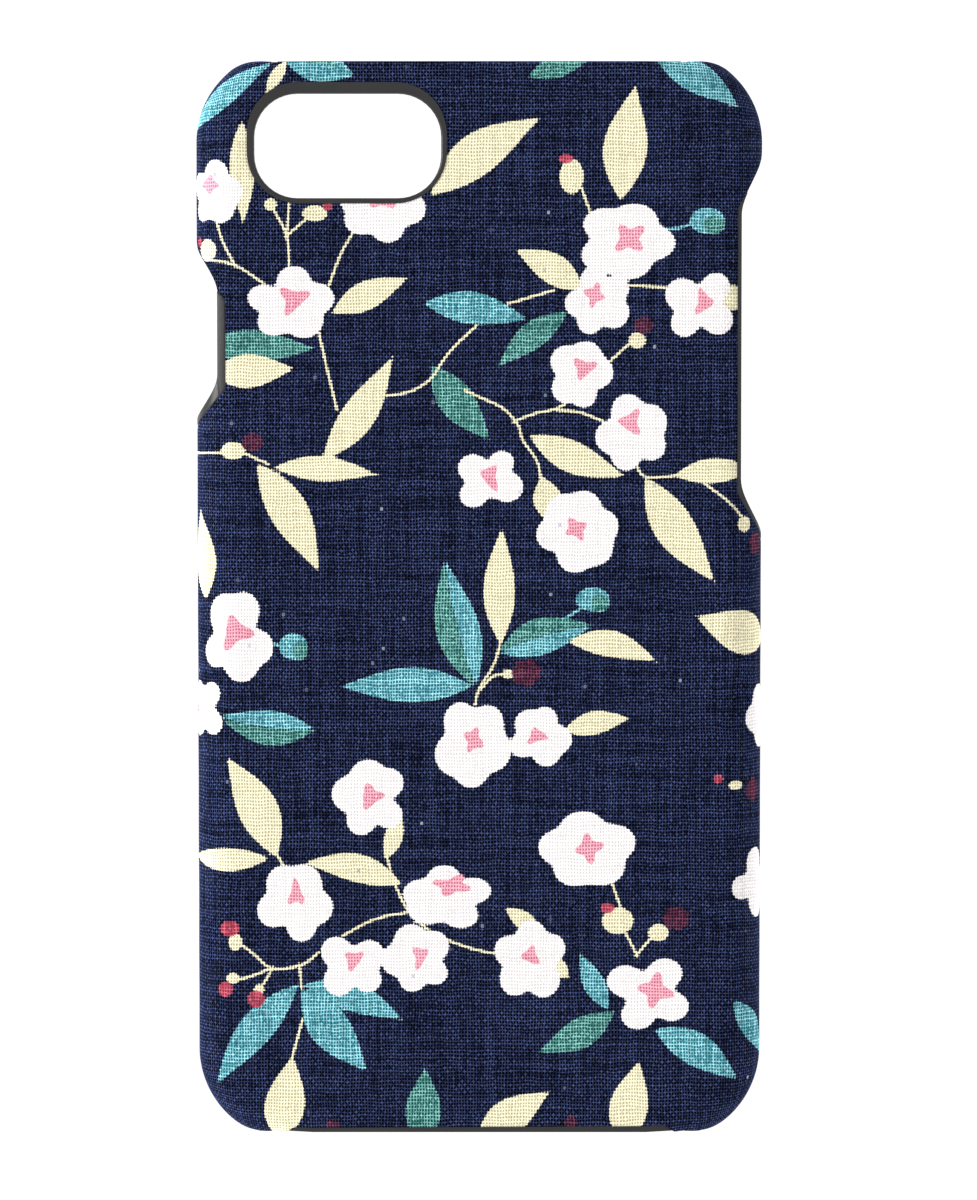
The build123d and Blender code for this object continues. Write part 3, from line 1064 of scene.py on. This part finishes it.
plastic = grained("satin_plastic", rgb(20, 20, 21), rgb(40, 40, 41), 0.34, 5000.0, 0.04)
glue = grained("glue_film", rgb(58, 56, 52), rgb(82, 80, 74), 0.45, 2500.0, 0.03)
shell.data.materials.append(plastic)
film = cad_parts["adhesive_film"]
film.data.materials.clear()
film.data.materials.append(glue)
print("plastic and glue made")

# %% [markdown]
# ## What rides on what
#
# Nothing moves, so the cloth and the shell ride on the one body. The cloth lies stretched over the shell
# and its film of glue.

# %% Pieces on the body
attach(cloth, "root")
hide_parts("fabric_cover")
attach(shell, "root")
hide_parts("shell")

# %% [markdown]
# ## A white studio
#
# The case is held upright, well above a pale floor, in even white light. One soft light from the left
# brightens that side and gives the threads a little relief, and a weaker one from the right keeps it
# even. The white world does most of the work, since a product on white has almost no shadows.

# %% Floor and light
floor_drop = 0.35


def build_floor():
    """A pale square, twelve metres wide, that burns out to white."""
    half = 6.0
    z = cloth_low.z - floor_drop
    corners = [(-half, -half, z), (half, -half, z), (half, half, z), (-half, half, z)]
    mesh = bpy.data.meshes.new("floor")
    mesh.from_pydata(corners, [], [(0, 1, 2, 3)])
    floor = bpy.data.objects.new("floor", mesh)
    bpy.context.scene.collection.objects.link(floor)
    pale = bpy.data.materials.new("pale_floor")
    pale.use_nodes = True
    pale.node_tree.nodes["Principled BSDF"].inputs["Base Color"].default_value = (0.96, 0.96, 0.96, 1)
    pale.node_tree.nodes["Principled BSDF"].inputs["Roughness"].default_value = 0.9
    mesh.materials.append(pale)


def soft_light(name, place, aim, size, watts):
    """A round area light at a place, turned to what it lights."""
    light = bpy.data.lights.new(name, "AREA")
    light.shape = "DISK"
    light.size = size
    light.energy = watts
    lamp = bpy.data.objects.new(name, light)
    lamp.location = place
    way = np.array(aim) - np.array(place)
    lamp.rotation_euler = Vector(way).to_track_quat("-Z", "Y").to_euler()
    bpy.context.scene.collection.objects.link(lamp)


build_floor()
soft_light("key", (-0.88, -0.36, 0.15), (0, 0, 0), 0.4, 9.0)
soft_light("fill", (0.8, -0.6, 0.1), (0, 0, 0), 0.6, 0.5)
world = bpy.data.worlds.new("white_studio")
world.use_nodes = True
world.node_tree.nodes["Background"].inputs["Color"].default_value = (1, 1, 1, 1)
world.node_tree.nodes["Background"].inputs["Strength"].default_value = 1.1
bpy.context.scene.world = world
bpy.context.scene.view_settings.view_transform = "Standard"
print("lights", [lamp.name for lamp in bpy.data.lights])

# %% [markdown]
# ## The camera
#
# The camera stands straight behind the case and four degrees above it. A long way off with a long lens,
# the sides stay almost parallel. The lens is worked out as the sensor's width times the distance over
# the height of the view.

# %% Camera
camera_distance = 0.70
camera_rise = radians(4)
camera_aim = Vector((1.15 * MM, 0, 0))
view_height = 150.6 * MM
camera_data = bpy.data.cameras.new("camera")
camera_data.lens = camera_data.sensor_width * camera_distance / view_height
camera_data.clip_start = 0.05
camera_data.clip_end = 20
camera = bpy.data.objects.new("camera", camera_data)
camera.location = camera_aim + camera_distance * Vector((0, -cos(camera_rise), sin(camera_rise)))
camera.rotation_euler = (camera_aim - camera.location).to_track_quat("-Z", "Y").to_euler()
bpy.context.scene.collection.objects.link(camera)
bpy.context.scene.camera = camera
print("lens", round(camera_data.lens, 1))
